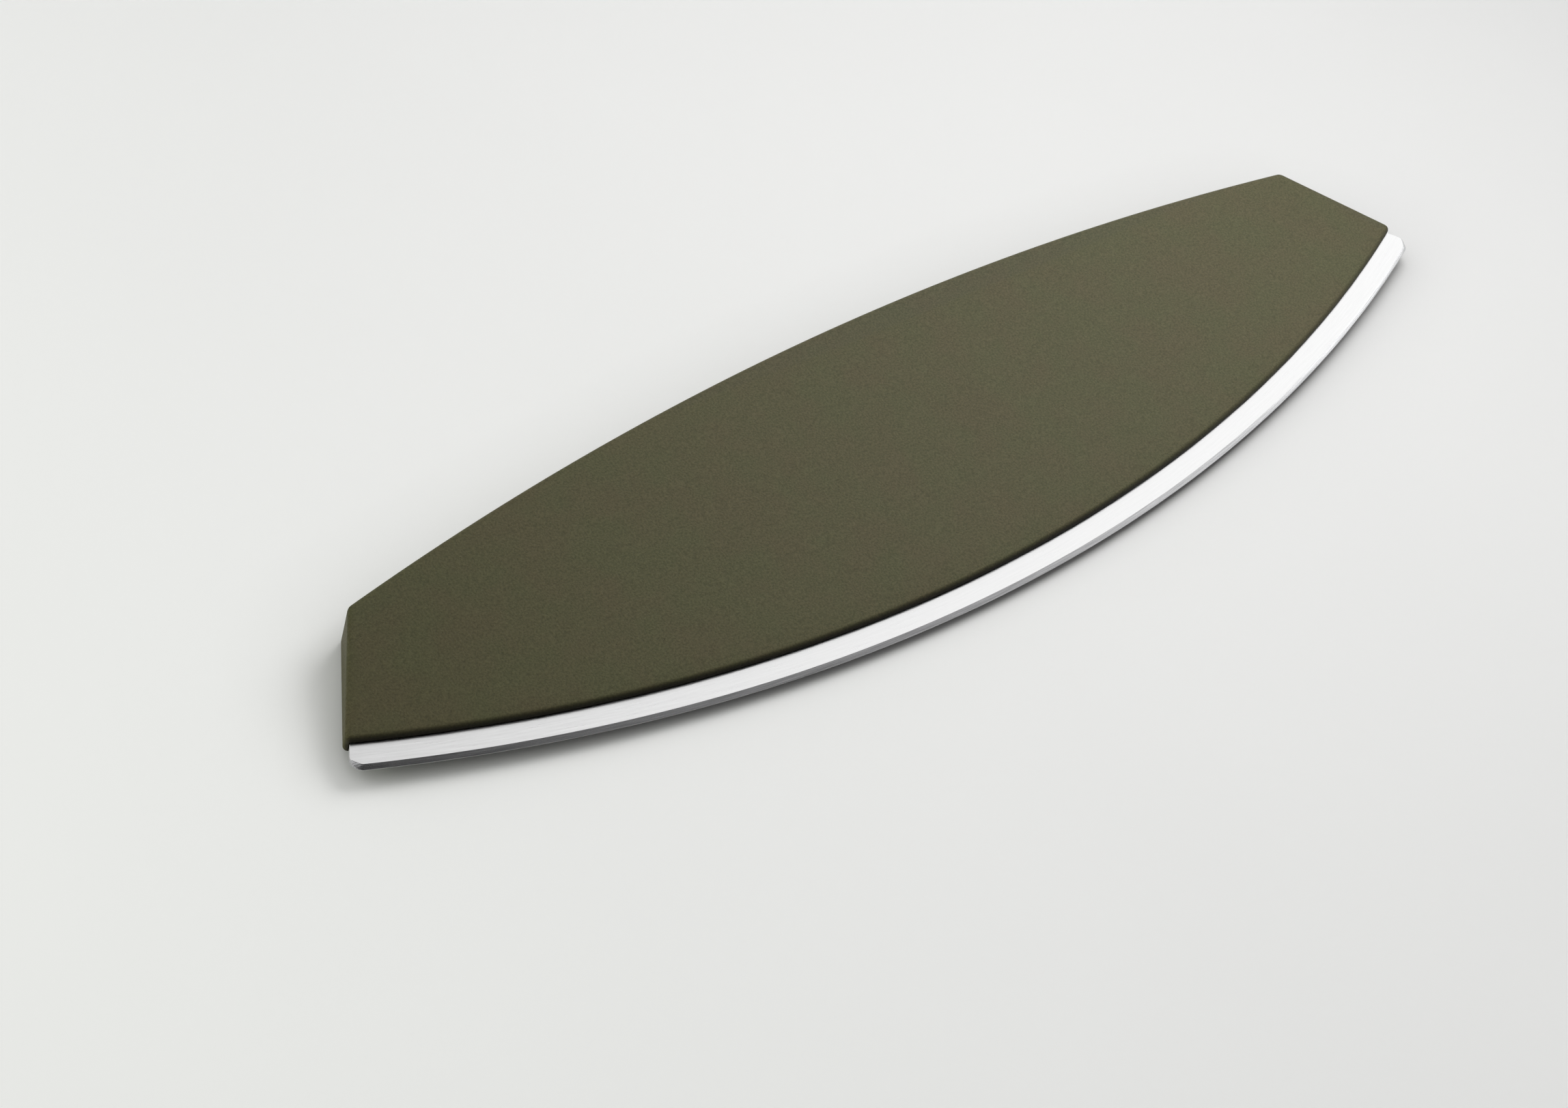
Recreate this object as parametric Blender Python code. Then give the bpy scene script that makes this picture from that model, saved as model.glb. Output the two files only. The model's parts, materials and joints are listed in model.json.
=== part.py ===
"""Rocking pizza knife: a curved steel blade held between two moulded handle halves.

Units are metres and +Z is up. Every piece is modelled in the blade's own frame: X runs along the knife, Y from the
cutting edge to the spine, and Z across the blade, whose middle plane is Z = 0. The lowest point of the handle's lip is
the origin of that frame. At the end the whole knife is laid on its rear face, as it lies on a table, with the origin in
the middle of its base.
"""

import math
from dataclasses import dataclass

import bmesh
import bpy
from mathutils import Matrix, Vector

MM = 0.001

# Handle outline
LENGTH = 370 * MM  # between the lower corners
SPINE_LENGTH = 329 * MM  # between the spine corners
SPINE_CORNER_HEIGHT = 67.5 * MM  # above the lowest point of the lip
SPINE_RISE = 15 * MM  # of the spine's arc above its corners
LIP_RADIUS = 472 * MM  # the lower edge, beside the blade
CORNER_ROUND = 2.4 * MM  # seen from the front

# Handle thickness and edges
SPINE_THICKNESS = 14 * MM
LIP_THICKNESS = 5.6 * MM
LIP_ROUND = 1.3 * MM
EDGE_ROUND = 1.0 * MM
FACE_WALL = 2.2 * MM

# Blade
BLADE_THICKNESS = 2.0 * MM
BLADE_SHOWING = 7.1 * MM  # from the lip to the cutting edge
BEVEL_WIDTH = 1.1 * MM
EDGE_BEVEL_WIDTH = 0.35 * MM
EDGE_BEVEL_THICKNESS = 0.9 * MM  # of the steel where the second bevel starts
EDGE_THICKNESS = 0.1 * MM
BLADE_END_SETBACK = 0.8 * MM  # inside the handle's ends
BLADE_CORNER_ROUND = 2.0 * MM
BURR_BREAK = 0.15 * MM
TANG_DEPTH = 28 * MM  # above the lip
TANG_END_SETBACK = 7.0 * MM

# Pins through the tang
PIN_COUNT = 6
PIN_SPAN = 290 * MM  # between the outermost pins
PIN_HEIGHT = 19 * MM  # above the lip
PIN_DIAMETER = 4.0 * MM
PIN_LENGTH = 4.8 * MM
PIN_CHAMFER = 0.4 * MM

# Ribs, rail and bosses inside the shells
CAVITY_LENGTH = 326 * MM  # width of the row of hollows, carried down to the lip
CELL_COUNT = 10
RIB_THICKNESS = 1.8 * MM
RAIL_WIDTH = 3.0 * MM  # between the tang and the hollows
BOSS_DIAMETER = 9.0 * MM
POST_DIAMETER = 4.6 * MM
POST_REACH = 3.4 * MM  # of a post into the other shell

# Tongue and groove round the rim
TONGUE_INSET = 1.5 * MM  # from the handle's outline
TONGUE_THICKNESS = 1.1 * MM
TONGUE_HEIGHT = 1.5 * MM
TONGUE_FOOT = 4.0 * MM  # above the lip, where the tongue ends
GROOVE_WALL = 0.9 * MM  # between the groove and the hollows

# Clearances
FIT = 0.3 * MM  # between pieces that touch
PIN_FIT = 0.1 * MM  # round a pin or a post

# Facets
LENGTH_STEPS = 48
ROUND_STEPS = 4
CORNER_STEPS = 4
END_STEPS = 2
CELL_STEPS = 5
CIRCLE_STEPS = 24

RIM_WALL = TONGUE_INSET + TONGUE_THICKNESS + FIT + GROOVE_WALL
LIP_CENTRE = Vector((0.0, LIP_RADIUS))
SPINE_RADIUS = ((SPINE_LENGTH / 2) ** 2 + SPINE_RISE**2) / (2 * SPINE_RISE)
SPINE_CENTRE = Vector((0.0, SPINE_CORNER_HEIGHT + SPINE_RISE - SPINE_RADIUS))


def lip_height(x):
    """Height of the handle's lower edge at x."""
    return LIP_RADIUS - math.sqrt(LIP_RADIUS**2 - x**2)


def spine_height(x):
    """Height of the handle's upper edge at x."""
    return SPINE_CENTRE.y + math.sqrt(SPINE_RADIUS**2 - x**2)


LOWER_CORNER = Vector((LENGTH / 2, lip_height(LENGTH / 2)))
SPINE_CORNER = Vector((SPINE_LENGTH / 2, SPINE_CORNER_HEIGHT))


def rise_at(x, y):
    """Share of the way from the lip, 0, to the spine, 1, at a point of the handle's face."""
    low, high = -0.5, 1.5
    for _ in range(40):
        share = (low + high) / 2
        along = x / (LENGTH / 2 + (SPINE_LENGTH - LENGTH) / 2 * share)
        height = (1 - share) * lip_height(along * LENGTH / 2) + share * spine_height(along * SPINE_LENGTH / 2)
        if height < y:
            low = share
        else:
            high = share
    return share


def face_height(x, y):
    """Distance of the handle's face from the blade's middle plane."""
    return (LIP_THICKNESS + (SPINE_THICKNESS - LIP_THICKNESS) * rise_at(x, y)) / 2


def end_line(inset):
    """Two points on the right end's line, lower first, moved inwards by the inset."""
    along = (SPINE_CORNER - LOWER_CORNER).normalized()
    inwards = Vector((-along.y, along.x)) * inset
    return LOWER_CORNER + inwards, SPINE_CORNER + inwards


def ruling(share, shift):
    """Two points on a line up the handle, from -1 at the left end to 1 at the right, moved to the right by the shift."""
    lower = Vector((share * LENGTH / 2, lip_height(share * LENGTH / 2)))
    upper = Vector((share * SPINE_LENGTH / 2, spine_height(share * SPINE_LENGTH / 2)))
    along = (upper - lower).normalized()
    sideways = Vector((along.y, -along.x)) * shift
    return lower + sideways, upper + sideways


def meet(line, centre, radius):
    """The point where a line up the handle crosses a circle, on the side that is nearer to the line's points."""
    start, end = line
    along = (end - start).normalized()
    middle = start + along * (centre - start).dot(along)
    reach = math.sqrt(radius**2 - (middle - centre).length_squared)
    crossings = middle - along * reach, middle + along * reach
    return min(crossings, key=lambda point: (point - start).length + (point - end).length)


def arc_between(start, end, centre, steps):
    """Points from start to end along the arc round a centre."""
    first = start - centre
    last = end - centre
    turn = first.angle(last)
    points = []
    for step in range(steps + 1):
        share = step / steps
        points.append(centre + (first * math.sin((1 - share) * turn) + last * math.sin(share * turn)) / math.sin(turn))
    return points


def rounded_corner(before, corner, after, radius):
    """Points of the round that replaces a corner, from the side of one neighbour to the other's."""
    back = (before - corner).normalized()
    ahead = (after - corner).normalized()
    half = back.angle(ahead) / 2
    centre = corner + (back + ahead).normalized() * (radius / math.sin(half))
    reach = radius / math.tan(half)
    return arc_between(corner + back * reach, corner + ahead * reach, centre, CORNER_STEPS)


def mirrored(points):
    """The same points on the left of the knife."""
    return [Vector((-point.x, point.y)) for point in points]


@dataclass
class Outline:
    """A four-sided shape seen from the front. Bottom and top run to the right, left and right run upwards."""

    bottom: list
    right: list
    top: list
    left: list

    def loop(self):
        """All points once round, anticlockwise from the lower left."""
        return self.bottom + self.right[1:] + self.top[::-1][1:] + self.left[::-1][1:-1]

    def index(self, row, column):
        """Place in the loop of a border point of the outline's grid."""
        columns = len(self.bottom) - 1
        rows = len(self.right) - 1
        if row == 0:
            return column
        if column == columns:
            return columns + row
        if row == rows:
            return columns + rows + (columns - column)
        return 2 * (columns + rows) - row

    def inside(self, row, column):
        """A point within the outline, on its grid of rows and columns."""
        side = self.right
        share = (side[row].y - side[0].y) / (side[-1].y - side[0].y)
        return self.bottom[column].lerp(self.top[column], share)


def handle_outline(lip_inset, side_inset):
    """The handle seen from the front, drawn in by one amount along the lip and another along spine and ends."""
    side = end_line(side_inset)
    lower = meet(side, LIP_CENTRE, LIP_RADIUS - lip_inset)
    upper = meet(side, SPINE_CENTRE, SPINE_RADIUS - side_inset)
    along_lip = Vector((lower.y - LIP_CENTRE.y, -lower.x))
    along_spine = Vector((SPINE_CENTRE.y - upper.y, upper.x))
    lower_round = rounded_corner(lower + along_lip, lower, upper, CORNER_ROUND - side_inset)
    upper_round = rounded_corner(lower, upper, upper + along_spine, CORNER_ROUND - side_inset)
    between = [lower_round[-1].lerp(upper_round[0], step / END_STEPS) for step in range(1, END_STEPS)]
    right = lower_round + between + upper_round
    left = mirrored(right)
    return Outline(
        bottom=arc_between(left[0], right[0], LIP_CENTRE, LENGTH_STEPS),
        right=right,
        top=arc_between(left[-1], right[-1], SPINE_CENTRE, LENGTH_STEPS),
        left=left,
    )


def edge_rounds(outline):
    """Radius of the rounded edge at each point of the handle's outline: the lip's, the sides', and a blend between."""
    rounds = [EDGE_ROUND] * len(outline.loop())
    for column in range(len(outline.bottom)):
        rounds[outline.index(0, column)] = LIP_ROUND
    for row in range(1, CORNER_STEPS):
        blend = LIP_ROUND + (EDGE_ROUND - LIP_ROUND) * row / CORNER_STEPS
        rounds[outline.index(row, 0)] = blend
        rounds[outline.index(row, len(outline.bottom) - 1)] = blend
    return rounds


def add_level(model, points, heights):
    """Adds one closed ring of vertices."""
    return [model.verts.new((point.x, point.y, height)) for point, height in zip(points, heights)]


def join_levels(model, lower, upper):
    """Closes the wall between two rings of vertices, facing outwards."""
    count = len(lower)
    for index in range(count):
        following = (index + 1) % count
        model.faces.new((lower[index], lower[following], upper[following], upper[index]))


def cap_with_grid(model, outline, ring, height):
    """Closes a ring with rows and columns of faces that follow a height over the plan."""
    rows = len(outline.right)
    columns = len(outline.bottom)
    grid = []
    for row in range(rows):
        line = []
        for column in range(columns):
            if row in (0, rows - 1) or column in (0, columns - 1):
                line.append(ring[outline.index(row, column)])
            else:
                point = outline.inside(row, column)
                line.append(model.verts.new((point.x, point.y, height(point.x, point.y))))
        grid.append(line)
    for below, above in zip(grid, grid[1:]):
        for column in range(columns - 1):
            model.faces.new((below[column], below[column + 1], above[column + 1], above[column]))


def mirror_to_rear(model):
    """Turns a front shape into the rear one."""
    bmesh.ops.scale(model, vec=(1, 1, -1), verts=model.verts)
    bmesh.ops.reverse_faces(model, faces=model.faces)


def shell_solid(rear):
    """One half of the handle with a smooth outside and no hollows: a flat seam side, a wall and a rounded edge."""
    model = bmesh.new()
    outline = handle_outline(0, 0)
    rounds = edge_rounds(outline)
    ring = add_level(model, outline.loop(), [FIT / 2] * len(rounds))
    model.faces.new(ring[::-1])
    for step in range(ROUND_STEPS + 1):
        turn = math.radians(90) * step / ROUND_STEPS
        drawn_in = 1 - math.cos(turn)
        below = 1 - math.sin(turn)
        outline = handle_outline(LIP_ROUND * drawn_in, EDGE_ROUND * drawn_in)
        points = outline.loop()
        heights = [face_height(point.x, point.y) - radius * below for point, radius in zip(points, rounds)]
        following = add_level(model, points, heights)
        join_levels(model, ring, following)
        ring = following
    cap_with_grid(model, outline, ring, face_height)
    if rear:
        mirror_to_rear(model)
    return model


def cell_outline(index):
    """One hollow between two ribs, above the rail and below the spine's wall."""
    reach = CAVITY_LENGTH / LENGTH
    lines = []
    for edge, shift in ((index, RIB_THICKNESS / 2), (index + 1, -RIB_THICKNESS / 2)):
        lines.append(ruling(reach * (2 * edge / CELL_COUNT - 1), shift))
    rail_top = LIP_RADIUS - TANG_DEPTH - FIT - RAIL_WIDTH
    corners = []
    for line in lines:
        corners.append((meet(line, LIP_CENTRE, rail_top), meet(line, SPINE_CENTRE, SPINE_RADIUS - RIM_WALL)))
    (lower_left, upper_left), (lower_right, upper_right) = corners
    return Outline(
        bottom=arc_between(lower_left, lower_right, LIP_CENTRE, CELL_STEPS),
        right=[lower_right, lower_right.lerp(upper_right, 0.5), upper_right],
        top=arc_between(upper_left, upper_right, SPINE_CENTRE, CELL_STEPS),
        left=[lower_left, lower_left.lerp(upper_left, 0.5), upper_left],
    )


def hollow_under_face(x, y):
    """Height of the ceiling of the hollows inside the handle."""
    return face_height(x, y) - FACE_WALL


def add_cells(model):
    """The hollows between the ribs, as solids that reach past the seam."""
    for index in range(CELL_COUNT):
        outline = cell_outline(index)
        points = outline.loop()
        floor = add_level(model, points, [-FIT] * len(points))
        model.faces.new(floor[::-1])
        ceiling = add_level(model, points, [hollow_under_face(point.x, point.y) for point in points])
        join_levels(model, floor, ceiling)
        cap_with_grid(model, outline, ceiling, hollow_under_face)


def tang_side():
    """The line of the tang's right end."""
    return end_line(TANG_END_SETBACK)


def add_tang_pocket(model):
    """The slot for the tang, as a solid that reaches past the seam and out through the lip."""
    side = end_line(TANG_END_SETBACK - FIT)
    beyond_lip = LIP_RADIUS + BLADE_SHOWING
    tang_top = LIP_RADIUS - TANG_DEPTH - FIT
    lower = meet(side, LIP_CENTRE, beyond_lip)
    upper = meet(side, LIP_CENTRE, tang_top)
    bottom = arc_between(*mirrored([lower]), lower, LIP_CENTRE, LENGTH_STEPS)
    top = arc_between(*mirrored([upper]), upper, LIP_CENTRE, LENGTH_STEPS)
    outline = Outline(bottom, [lower, upper], top, mirrored([lower, upper]))
    points = outline.loop()
    floor = add_level(model, points, [-FIT] * len(points))
    ceiling = add_level(model, points, [BLADE_THICKNESS / 2 + FIT] * len(points))
    join_levels(model, floor, ceiling)
    cap_with_grid(model, outline, ceiling, lambda x, y: BLADE_THICKNESS / 2 + FIT)
    for column in range(LENGTH_STEPS):
        first = outline.index(1, column)
        second = outline.index(1, column + 1)
        model.faces.new((floor[column + 1], floor[column], floor[first], floor[second]))


def rim_path(inset, foot):
    """Points inside the handle's rim, from the foot of the left end over the spine to the foot of the right end."""
    side = end_line(inset)
    lower = meet(side, LIP_CENTRE, LIP_RADIUS - foot)
    upper = meet(side, SPINE_CENTRE, SPINE_RADIUS - inset)
    arc = arc_between(*mirrored([upper]), upper, SPINE_CENTRE, LENGTH_STEPS)
    return mirrored([lower]) + arc + [lower]


def add_rim_band(model, outer_inset, inner_inset, foot, low, high):
    """A band that follows the ends and the spine between two insets, from a low to a high level."""
    outer = rim_path(outer_inset, foot)
    inner = rim_path(inner_inset, foot)
    count = len(outer)
    points = outer[::-1] + inner
    floor = add_level(model, points, [low] * len(points))
    ceiling = add_level(model, points, [high] * len(points))
    join_levels(model, floor, ceiling)
    for index in range(count - 1):
        across = 2 * count - 1 - index
        model.faces.new((ceiling[index], ceiling[index + 1], ceiling[across - 1], ceiling[across]))
        model.faces.new((floor[index + 1], floor[index], floor[across], floor[across - 1]))


def add_cylinder(model, centre, radius, low, high):
    """An upright cylinder between two levels."""
    place = Matrix.Translation((centre.x, centre.y, (low + high) / 2))
    bmesh.ops.create_cone(
        model,
        cap_ends=True,
        segments=CIRCLE_STEPS,
        radius1=radius,
        radius2=radius,
        depth=high - low,
        matrix=place,
    )


def pin_centres():
    """Places of the pins, evenly spread along an arc above the lip."""
    radius = LIP_RADIUS - PIN_HEIGHT
    widest = math.asin(PIN_SPAN / 2 / radius)
    centres = []
    for index in range(PIN_COUNT):
        turn = widest * (2 * index / (PIN_COUNT - 1) - 1)
        centres.append(LIP_CENTRE + Vector((math.sin(turn), -math.cos(turn))) * radius)
    return centres


def boss_centres():
    """Places of the bosses that close the handle: on every second rib, between the rail and the spine's wall."""
    reach = CAVITY_LENGTH / LENGTH
    centres = []
    for edge in range(1, CELL_COUNT, 2):
        line = ruling(reach * (2 * edge / CELL_COUNT - 1), 0)
        lower = meet(line, LIP_CENTRE, LIP_RADIUS - TANG_DEPTH - FIT - RAIL_WIDTH)
        upper = meet(line, SPINE_CENTRE, SPINE_RADIUS - RIM_WALL)
        centres.append((lower + upper) / 2)
    return centres


def blade_outline(edge_inset, side_inset):
    """The blade seen from the front, drawn in along its cutting edge and along its ends."""
    side = end_line(BLADE_END_SETBACK + side_inset)
    lower = meet(side, LIP_CENTRE, LIP_RADIUS + BLADE_SHOWING - edge_inset)
    shoulder = meet(side, LIP_CENTRE, LIP_RADIUS + FIT)
    tang_foot = meet(tang_side(), LIP_CENTRE, LIP_RADIUS + FIT)
    tang_top = meet(tang_side(), LIP_CENTRE, LIP_RADIUS - TANG_DEPTH)
    along_edge = Vector((lower.y - LIP_CENTRE.y, -lower.x))
    corner = rounded_corner(lower + along_edge, lower, shoulder, BLADE_CORNER_ROUND)
    right = corner + [shoulder, tang_foot, tang_top]
    left = mirrored(right)
    edge = arc_between(left[0], right[0], LIP_CENTRE, LENGTH_STEPS)
    top = arc_between(left[-1], right[-1], LIP_CENTRE, LENGTH_STEPS)
    return edge + right[1:] + top[::-1][1:] + left[::-1][1:-1]


def blade_solid():
    """The blade without its holes: flat sides, a bevel on each side and a second, finer bevel at the edge."""
    steps = (
        (BLADE_THICKNESS / 2, BEVEL_WIDTH, BURR_BREAK),
        (EDGE_BEVEL_THICKNESS / 2, EDGE_BEVEL_WIDTH, BURR_BREAK / 2),
        (EDGE_THICKNESS / 2, 0, 0),
    )
    levels = [(-height, *insets) for height, *insets in steps] + [step for step in reversed(steps)]
    model = bmesh.new()
    rings = []
    for height, edge_inset, side_inset in levels:
        points = blade_outline(edge_inset, side_inset)
        rings.append(add_level(model, points, [height] * len(points)))
    model.faces.new(rings[0][::-1])
    for lower, upper in zip(rings, rings[1:]):
        join_levels(model, lower, upper)
    model.faces.new(rings[-1])
    return model


def pin_solid():
    """One tang pin, with a chamfer at each end."""
    model = bmesh.new()
    add_cylinder(model, Vector((0, 0)), PIN_DIAMETER / 2, -PIN_LENGTH / 2, PIN_LENGTH / 2)
    ends = [edge for edge in model.edges if abs(edge.verts[0].co.z - edge.verts[1].co.z) < FIT]
    bmesh.ops.bevel(model, geom=ends, offset=PIN_CHAMFER, segments=1, affect="EDGES")
    return model


def surface(name, colour, roughness, metallic):
    """A material with one colour, as seen on screen from 0 to 1."""
    material = bpy.data.materials.new(name)
    material.use_nodes = True
    shader = material.node_tree.nodes["Principled BSDF"]
    shader.inputs["Base Color"].default_value = (*(channel**2.2 for channel in colour), 1.0)
    shader.inputs["Roughness"].default_value = roughness
    shader.inputs["Metallic"].default_value = metallic
    material.diffuse_color = (*colour, 1.0)
    return material


def as_object(name, model, material, parent):
    """Puts a finished mesh into the scene."""
    mesh = bpy.data.meshes.new(name)
    model.to_mesh(mesh)
    model.free()
    mesh.shade_smooth()
    mesh.set_sharp_from_angle(angle=math.radians(30))
    if material:
        mesh.materials.append(material)
    piece = bpy.data.objects.new(name, mesh)
    bpy.context.scene.collection.objects.link(piece)
    piece.parent = parent
    return piece


def tool(name, model, parent):
    """A shape that is cut from a piece or added to it, and isn't a piece itself."""
    shape = as_object(name, model, None, parent)
    shape.hide_render = True
    shape.display_type = "WIRE"
    return shape


def combine(piece, shape, operation):
    """Cuts a shape from a piece, or adds it."""
    modifier = piece.modifiers.new(shape.name, "BOOLEAN")
    modifier.operation = operation
    modifier.object = shape
    modifier.solver = "EXACT"


def hollows(rear):
    """The slot for the tang and the hollows between the ribs of one shell."""
    model = bmesh.new()
    add_tang_pocket(model)
    add_cells(model)
    if rear:
        mirror_to_rear(model)
    return model


def bosses(rear):
    """The bosses of one shell, from just short of the seam into the face's wall."""
    model = bmesh.new()
    for centre in boss_centres():
        top = face_height(centre.x, centre.y) - FACE_WALL / 2
        add_cylinder(model, centre, BOSS_DIAMETER / 2, FIT, top)
    if rear:
        mirror_to_rear(model)
    return model


def pin_bores(model, low, high):
    """The blind bores of a shell for the pins."""
    for centre in pin_centres():
        add_cylinder(model, centre, PIN_DIAMETER / 2 + PIN_FIT, low, high)


def build_front_shell(knife, material):
    """The front half of the handle, with a tongue round its rim and sockets for the rear half's posts."""
    shell = as_object("front_shell", shell_solid(rear=False), material, knife)
    combine(shell, tool("front_hollows", hollows(rear=False), knife), "DIFFERENCE")
    combine(shell, tool("front_bosses", bosses(rear=False), knife), "UNION")
    bores = bmesh.new()
    pin_bores(bores, -FIT, PIN_LENGTH / 2 + FIT)
    for centre in boss_centres():
        add_cylinder(bores, centre, POST_DIAMETER / 2 + PIN_FIT, -FIT, POST_REACH + FIT)
    combine(shell, tool("front_bores", bores, knife), "DIFFERENCE")
    tongue = bmesh.new()
    inner_inset = TONGUE_INSET + TONGUE_THICKNESS
    add_rim_band(tongue, TONGUE_INSET, inner_inset, TONGUE_FOOT, -TONGUE_HEIGHT, TONGUE_HEIGHT / 2)
    combine(shell, tool("front_tongue", tongue, knife), "UNION")
    return shell


def build_rear_shell(knife, material):
    """The rear half of the handle, with a groove round its rim and posts on its bosses."""
    shell = as_object("rear_shell", shell_solid(rear=True), material, knife)
    combine(shell, tool("rear_hollows", hollows(rear=True), knife), "DIFFERENCE")
    groove = bmesh.new()
    inner_inset = TONGUE_INSET + TONGUE_THICKNESS + FIT
    add_rim_band(groove, TONGUE_INSET - FIT, inner_inset, TONGUE_FOOT - FIT, -TONGUE_HEIGHT - FIT, FIT)
    combine(shell, tool("rear_groove", groove, knife), "DIFFERENCE")
    combine(shell, tool("rear_bosses", bosses(rear=True), knife), "UNION")
    bores = bmesh.new()
    pin_bores(bores, -PIN_LENGTH / 2 - FIT, FIT)
    combine(shell, tool("rear_bores", bores, knife), "DIFFERENCE")
    posts = bmesh.new()
    for centre in boss_centres():
        add_cylinder(posts, centre, POST_DIAMETER / 2, -POST_REACH / 2, POST_REACH)
    combine(shell, tool("rear_posts", posts, knife), "UNION")
    return shell


def build_blade(knife, material):
    """The steel blade, with holes for the pins in its tang."""
    blade = as_object("blade", blade_solid(), material, knife)
    holes = bmesh.new()
    for centre in pin_centres():
        add_cylinder(holes, centre, PIN_DIAMETER / 2 + PIN_FIT, -BLADE_THICKNESS, BLADE_THICKNESS)
    combine(blade, tool("tang_holes", holes, knife), "DIFFERENCE")
    return blade


def build_pins(knife, material):
    """The pins that hold the tang between the shells."""
    pins = []
    for number, centre in enumerate(pin_centres(), start=1):
        pin = as_object(f"tang_pin_{number}", pin_solid(), material, knife)
        pin.location = (centre.x, centre.y, 0)
        pins.append(pin)
    return pins


def points_of(pieces):
    """Every vertex of the finished pieces, in the world."""
    bpy.context.view_layer.update()
    graph = bpy.context.evaluated_depsgraph_get()
    points = []
    for piece in pieces:
        finished = piece.evaluated_get(graph)
        points += [finished.matrix_world @ vertex.co for vertex in finished.data.vertices]
    return points


def resting_tilt(points):
    """Turn about X that lays the knife on its rear face, on the two places that it touches either side of its middle."""
    profile = sorted({(point.y, point.z) for point in points})
    hull = []
    for y, z in profile:
        while len(hull) > 1 and cross(hull[-2], hull[-1], (y, z)) <= 0:
            hull.pop()
        hull.append((y, z))
    middle = (profile[0][0] + profile[-1][0]) / 2
    for (start_y, start_z), (end_y, end_z) in zip(hull, hull[1:]):
        if start_y <= middle <= end_y:
            return math.atan2(start_z - end_z, end_y - start_y)
    return 0.0


def cross(origin, first, second):
    """Twice the signed area of a triangle in the YZ plane."""
    first_y, first_z = first[0] - origin[0], first[1] - origin[1]
    second_y, second_z = second[0] - origin[0], second[1] - origin[1]
    return first_y * second_z - first_z * second_y


def lay_down(knife, pieces):
    """Lays the knife on its rear face, with the origin in the middle of its base."""
    knife.rotation_euler.x = resting_tilt(points_of(pieces))
    points = points_of(pieces)
    lengthwise = [point.x for point in points]
    across = [point.y for point in points]
    knife.location = (
        -(min(lengthwise) + max(lengthwise)) / 2,
        -(min(across) + max(across)) / 2,
        -min(point.z for point in points),
    )


def main():
    """Builds the knife in an empty scene."""
    for thing in list(bpy.data.objects):
        bpy.data.objects.remove(thing)
    knife = bpy.data.objects.new("knife", None)
    bpy.context.scene.collection.objects.link(knife)
    green = surface("olive_plastic", (0.34, 0.335, 0.26), 0.6, 0.0)
    steel = surface("brushed_blade_steel", (0.80, 0.80, 0.79), 0.3, 1.0)
    pin_steel = surface("pin_steel", (0.70, 0.70, 0.69), 0.35, 1.0)
    pieces = [build_blade(knife, steel), build_front_shell(knife, green), build_rear_shell(knife, green)]
    pieces += build_pins(knife, pin_steel)
    lay_down(knife, pieces)


main()
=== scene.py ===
"""Looks of a rocking pizza knife: two moulded olive handle halves, a ground steel blade and the studio.

Every new piece is modelled in the blade's own frame: X runs along the knife, Y from the cutting edge to the
spine, and Z across the blade, whose middle plane is Z = 0. The lowest point of the handle's lip is the origin
of that frame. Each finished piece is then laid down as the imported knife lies, on its rear face. All sizes are
in metres.
"""

import json
import logging
import math
from collections.abc import Callable, Iterator
from contextlib import contextmanager
from dataclasses import dataclass, field
from enum import Enum

import bmesh
import bpy
from mathutils import Matrix, Vector

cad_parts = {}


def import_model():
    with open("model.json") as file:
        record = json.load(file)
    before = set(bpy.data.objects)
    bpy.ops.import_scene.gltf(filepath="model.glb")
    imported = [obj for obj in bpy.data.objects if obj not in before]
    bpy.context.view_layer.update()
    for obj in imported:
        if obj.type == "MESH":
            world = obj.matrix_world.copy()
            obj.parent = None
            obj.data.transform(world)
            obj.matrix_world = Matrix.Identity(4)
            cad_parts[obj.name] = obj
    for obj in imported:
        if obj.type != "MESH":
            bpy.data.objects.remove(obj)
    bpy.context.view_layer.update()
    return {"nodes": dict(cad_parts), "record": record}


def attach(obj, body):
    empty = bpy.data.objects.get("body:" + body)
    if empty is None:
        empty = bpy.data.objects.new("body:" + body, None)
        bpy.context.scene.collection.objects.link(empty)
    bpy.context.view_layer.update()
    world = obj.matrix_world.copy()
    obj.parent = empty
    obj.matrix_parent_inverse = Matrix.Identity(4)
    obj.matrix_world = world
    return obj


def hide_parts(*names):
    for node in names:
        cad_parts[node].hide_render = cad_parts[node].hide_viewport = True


MM = 0.001
LOG = logging.getLogger("pizza_knife")
DIRECT_RAYS = ("Is Camera Ray", "Is Glossy Ray", "Is Transmission Ray")
WHITE = (1.0, 1.0, 1.0, 1.0)
CYLINDER_SIDES = 32

# Most values of a noise node lie in this range.
NOISE_RANGE = (0.3, 0.7)

# Points nearer than these are taken as one: in a cut, in a clean-up, at a corner and on an arc.
CUT_MATCH = 1e-7
DOUBLE_MATCH = 1e-6
CORNER_MATCH = 0.02 * MM
ARC_MATCH = 0.01 * MM

# The Z part of a face's normal: less than WALL_TILT on the handle's walls, more than FACE_TILT on its face,
# less than END_TILT on the blade's ends, more than FLAT_TILT on its flats, and less than GROUND_TILT where
# it is ground.
WALL_TILT = 0.2
FACE_TILT = 0.8
END_TILT = 0.01
FLAT_TILT = 0.99
GROUND_TILT = 0.98

Point = tuple[float, float, float]
Colour = tuple[float, float, float]
Range = tuple[float, float]


class Side(Enum):
    """The two faces of the knife as it lies: the front looks up."""

    FRONT = 1
    REAR = -1


class End(Enum):
    """The two ends of the knife, seen from the front."""

    LEFT = -1
    RIGHT = 1


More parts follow.
